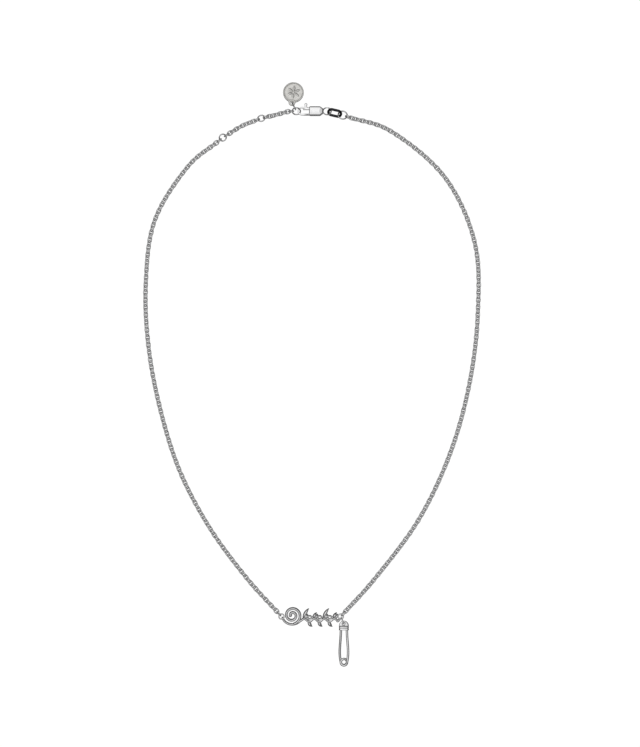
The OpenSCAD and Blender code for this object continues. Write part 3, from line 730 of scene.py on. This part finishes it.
def leg(side, z):
    """Leg from inside the cap down to the coil."""
    out = []
    for u in np.arange(LEG_STEPS) / LEG_STEPS:
        x = LEG_GAP / 2 + LEG_BULGE / 2 * math.sin(math.pi * u * u) + (COIL_R - LEG_GAP / 2) * u
        out.append((side * x, LEG_TOP - (PIN_L + LEG_TOP) * u, JOIN_Z + (z - JOIN_Z) * smooth_step(u, 0, 1)))
    return out


def pin_wire_path():
    """Down one leg, one and a half turns round the coil, and up the other leg."""
    coil = [(*(COIL_R * unit(180 + a) - [0, PIN_L]), COIL_Z + COIL_PITCH * a / 360)
            for a in range(0, 541, COIL_STEP)]
    return np.array(leg(-1, COIL_Z) + coil + leg(1, COIL_Z + 1.5 * COIL_PITCH)[::-1])


def creased_cap():
    """The CAD's cap, crowned, with two pressed lines across its skirt and a rolled lower edge."""
    def across(points):
        """How far points lie to either side, as a share of half the cap's width."""
        return np.abs(points[:, 0] - CAP_HOLE_AT[0]) / CAP_HALF_W

    def outer(points):
        """The cap's sides and top count as walls, and those of its hollow don't."""
        return (across(points) > 0.95) | (points[:, 1] > CAP_HOLE_AT[1] - CAP_HOLE_D)

    def form(points, normals):
        """Lines and roll pressed into the outside alone, and the whole cap rounded across."""
        side, above = across(points), points[:, 2] - JOIN_Z
        up = points[:, 1] - (CAP_HOLE_AT[1] - CAP_SKIRT)
        crease = sum(np.exp(-((up - line) / CREASE_W) ** 2) for line in CREASES)
        roll = np.exp(-((up - EDGE_ROLL_UP) / EDGE_ROLL_W) ** 2)
        outside = (np.abs(above) > 0.5) | (side > 0.91)
        points = points + normals * (outside * (EDGE_ROLL_H * roll - CREASE_DEPTH * crease))[:, None]
        points[:, 2] = JOIN_Z + (points[:, 2] - JOIN_Z) * np.sqrt(1 - 0.5 * np.minimum(side ** 2, 1))
        return points

    cap = remeshed(cad_copy("safety_pin_cap"), CAP_VOXEL, EDGE_ROUNDS, fill=0.03)
    return reshaped(crowned(cap, low=0.12, reach=0.45, outer=outer), form)


def add_pin():
    hanger = link_part(lifted(PIN_LINK_AT, JOIN_Z), PIN_LINK_L, SMALL_LINK_W, lean=PIN_LINK_LEAN, roll=90)
    silver("pin_hanger", hanger, "pin_link")
    wire = round_tube(pin_wire_path(), PIN_WIRE / 2, PIN_SIDES)
    silver("pin_wire", moved(wire, lifted(CAP_HOLE_AT, 0)), "safety_pin_wire")
    place("pin_cap", creased_cap(), SILVER, ["safety_pin_cap"])


# Stage, world and camera

def make_floor():
    """White to the camera and dark to what lies on it, like the ground under a cut-out photograph."""
    mesh = bpy.data.meshes.new("floor")
    corners = [(x * FLOOR_SIZE, y * FLOOR_SIZE, FLOOR_Z) for x, y in ((-1, -1), (1, -1), (1, 1), (-1, 1))]
    mesh.from_pydata(corners, [], [(0, 1, 2, 3)])
    mat, nodes, links, shader = new_material("floor_white")
    shader.inputs["Roughness"].default_value = 0.9
    shader.inputs["Specular IOR Level"].default_value = 0.0
    shader.inputs["Base Color"].default_value = (FLOOR_GREY, FLOOR_GREY, FLOOR_GREY, 1)
    shader.inputs["Emission Color"].default_value = (1, 1, 1, 1)
    seen = nodes.new("ShaderNodeLightPath")
    glow = spread(nodes, links, seen.outputs["Is Camera Ray"], FLOOR_GLOW, 1.0, 0.0, 1.0)
    links.new(glow, shader.inputs["Emission Strength"])
    mesh.materials.append(mat)
    floor = bpy.data.objects.new("floor", mesh)
    bpy.context.scene.collection.objects.link(floor)


def make_world():
    """A bright ceiling, off to the upper left, that fades to dark upper and grey lower walls.

    Polished edges read dark in it from above, and flat metal reads grey from the side.
    """
    world = bpy.data.worlds.new("studio")
    bpy.context.scene.world = world
    world.use_nodes = True
    nodes, links = world.node_tree.nodes, world.node_tree.links
    where = nodes.new("ShaderNodeTexCoord")
    height = nodes.new("ShaderNodeVectorMath")
    height.operation = "DOT_PRODUCT"
    height.inputs[1].default_value = Vector(LIGHT_FROM).normalized()
    links.new(where.outputs["Generated"], height.inputs[0])
    ramp = nodes.new("ShaderNodeValToRGB")
    steps = ramp.color_ramp.elements
    for at, _ in SURROUND[1:-1]:
        steps.new(at)
    for step, (at, grey) in zip(steps, SURROUND):
        step.position, step.color = at, (grey, grey, grey, 1)
    links.new(height.outputs["Value"], ramp.inputs["Fac"])
    seen = nodes.new("ShaderNodeLightPath")
    ground = nodes.new("ShaderNodeMix")
    ground.data_type = "RGBA"
    links.new(seen.outputs["Is Camera Ray"], ground.inputs["Factor"])
    links.new(ramp.outputs["Color"], ground.inputs["A"])
    ground.inputs["B"].default_value = (1, 1, 1, 1)
    links.new(ground.outputs["Result"], nodes["Background"].inputs["Color"])


def make_camera():
    data = bpy.data.cameras.new("camera")
    data.lens = CAMERA_LENS
    data.sensor_width = 36
    data.clip_start, data.clip_end = 0.01, 10
    camera = bpy.data.objects.new("camera", data)
    camera.location = CAMERA_AT
    bpy.context.scene.collection.objects.link(camera)
    bpy.context.scene.camera = camera


add_chains()
add_rings()
add_tag()
add_clasp()
add_plate()
add_pin()
make_floor()
make_world()
make_camera()
bpy.context.scene.view_settings.view_transform = "Standard"
